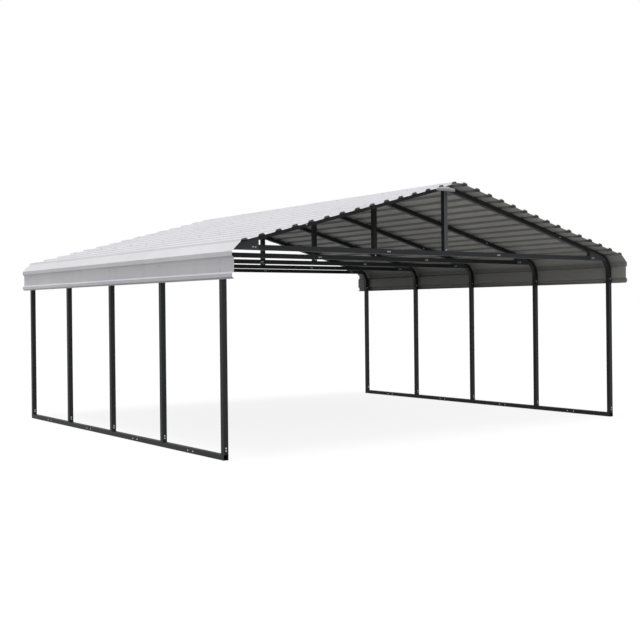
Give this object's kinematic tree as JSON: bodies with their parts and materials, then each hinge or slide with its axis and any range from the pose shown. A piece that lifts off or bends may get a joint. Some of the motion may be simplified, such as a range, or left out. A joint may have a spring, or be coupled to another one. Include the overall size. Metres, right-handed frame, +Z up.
{
  "type": "carport",
  "caption": "Open gabled carport: bent square-tube steel frames with ties and king posts on base rails, under a ribbed sheet roof with deep eave fascias.",
  "frame": {"origin": "on the ground at the middle of the plan, under the ridge and midway between the first and last frames", "axes": "+Z up, +X across the parking bay towards the right-hand posts, +Y from the front opening to the rear"},
  "size_m": [6.0482, 5.79, 2.9256],
  "materials": {
    "frame_steel": "charcoal powder coat, satin",
    "roof_sheet": "pale grey coil-coated sheet, low gloss",
    "zinc_screws": "bright zinc plate",
    "plate": "white enamel, bare of any lettering"
  },
  "bodies": {
    "root": {"base_rail_left": "frame_steel", "base_rail_right": "frame_steel", "eave_bend_left_1": "frame_steel", "eave_bend_left_2": "frame_steel", "eave_bend_left_3": "frame_steel", "eave_bend_left_4": "frame_steel", "eave_bend_left_5": "frame_steel", "eave_bend_right_1": "frame_steel", "eave_bend_right_2": "frame_steel", "eave_bend_right_3": "frame_steel", "eave_bend_right_4": "frame_steel", "eave_bend_right_5": "frame_steel", "eave_gussets_left": "frame_steel", "eave_gussets_right": "frame_steel", "eave_sheet_left_front": "roof_sheet", "eave_sheet_left_rear": "roof_sheet", "eave_sheet_right_front": "roof_sheet", "eave_sheet_right_rear": "roof_sheet", "king_posts": "frame_steel", "post_left_1": "frame_steel", "post_left_2": "frame_steel", "post_left_3": "frame_steel", "post_left_4": "frame_steel", "post_left_5": "frame_steel", "post_right_1": "frame_steel", "post_right_2": "frame_steel", "post_right_3": "frame_steel", "post_right_4": "frame_steel", "post_right_5": "frame_steel", "rafters_left": "frame_steel", "rafters_right": "frame_steel", "ridge_bends": "frame_steel", "ridge_sheet_front": "roof_sheet", "ridge_sheet_rear": "roof_sheet", "roof_sheets_left_front": "roof_sheet", "roof_sheets_left_rear": "roof_sheet", "roof_sheets_right_front": "roof_sheet", "roof_sheets_right_rear": "roof_sheet", "tie_1": "frame_steel", "tie_2": "frame_steel", "tie_3": "frame_steel", "tie_4": "frame_steel", "tie_5": "frame_steel"}
  },
  "joints": []
}
